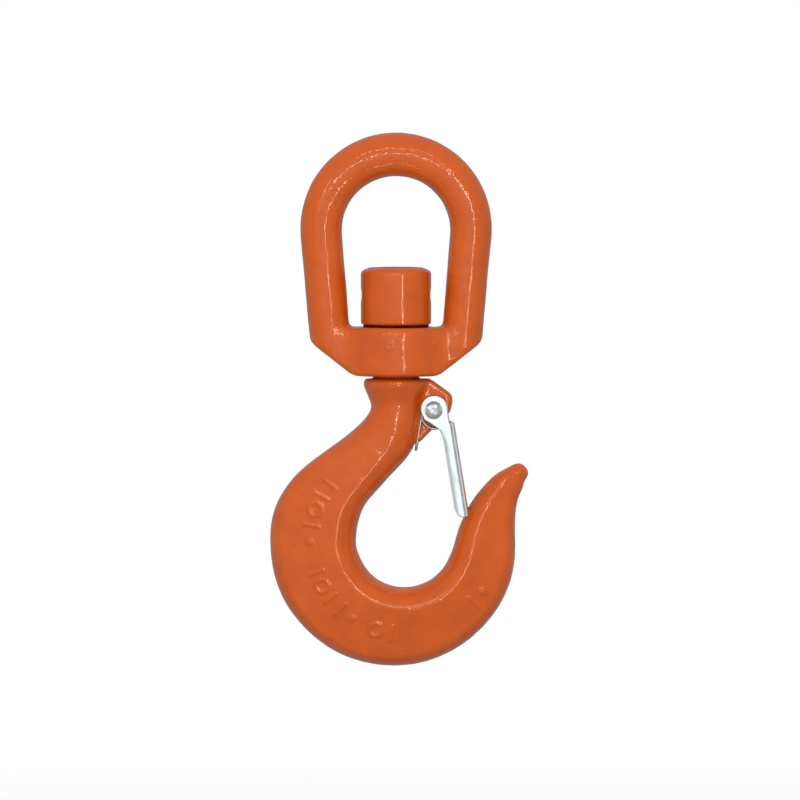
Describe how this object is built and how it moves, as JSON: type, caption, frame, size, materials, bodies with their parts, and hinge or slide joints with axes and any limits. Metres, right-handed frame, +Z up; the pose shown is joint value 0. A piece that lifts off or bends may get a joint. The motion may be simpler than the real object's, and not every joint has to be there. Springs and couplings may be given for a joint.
{
  "type": "swivel hook",
  "caption": "Lifting hook whose shank turns in the boss of a forged eye, held by a pinned cap nut, with a sprung channel latch across its mouth.",
  "frame": {"origin": "bearing point at the top of the bail's eye, where it hangs", "axes": "+Z up along the shank, +X towards the hook's mouth, -Y is the front face"},
  "size_m": [0.1029, 0.035, 0.213],
  "materials": {
    "paint": "glossy orange enamel over forged steel",
    "washer_steel": "dark greased steel",
    "zinc_sheet": "bright zinc-plated sheet",
    "spring_wire": "zinc-plated spring wire",
    "rivet_steel": "zinc-plated, hammered head"
  },
  "bodies": {
    "bail": {"bail": "paint"},
    "washer": {"thrust_washer": "washer_steel"},
    "hook": {"hook": "paint", "swivel_nut": "paint", "nut_pin": "paint", "latch_rivet": "rivet_steel"},
    "latch": {"latch": "zinc_sheet", "latch_spring": "spring_wire"}
  },
  "joints": [
    {"name": "swivel", "type": "hinge", "parent": "bail", "child": "washer", "pos_m": [0, 0, -0.07], "axis": [0, 0, 1], "continuous": true},
    {"name": "end_float", "type": "slide", "parent": "washer", "child": "hook", "axis": [0, 0, 1], "range_m": [0, 0.001]},
    {"name": "latch_hinge", "type": "hinge", "parent": "hook", "child": "latch", "pos_m": [0.015, 0, -0.0933], "axis": [0, 1, 0], "range_deg": [0, 48], "stiffness_Nm_per_rad": 0.25, "springref_deg": -51.57, "deforming": ["latch_spring"]}
  ]
}
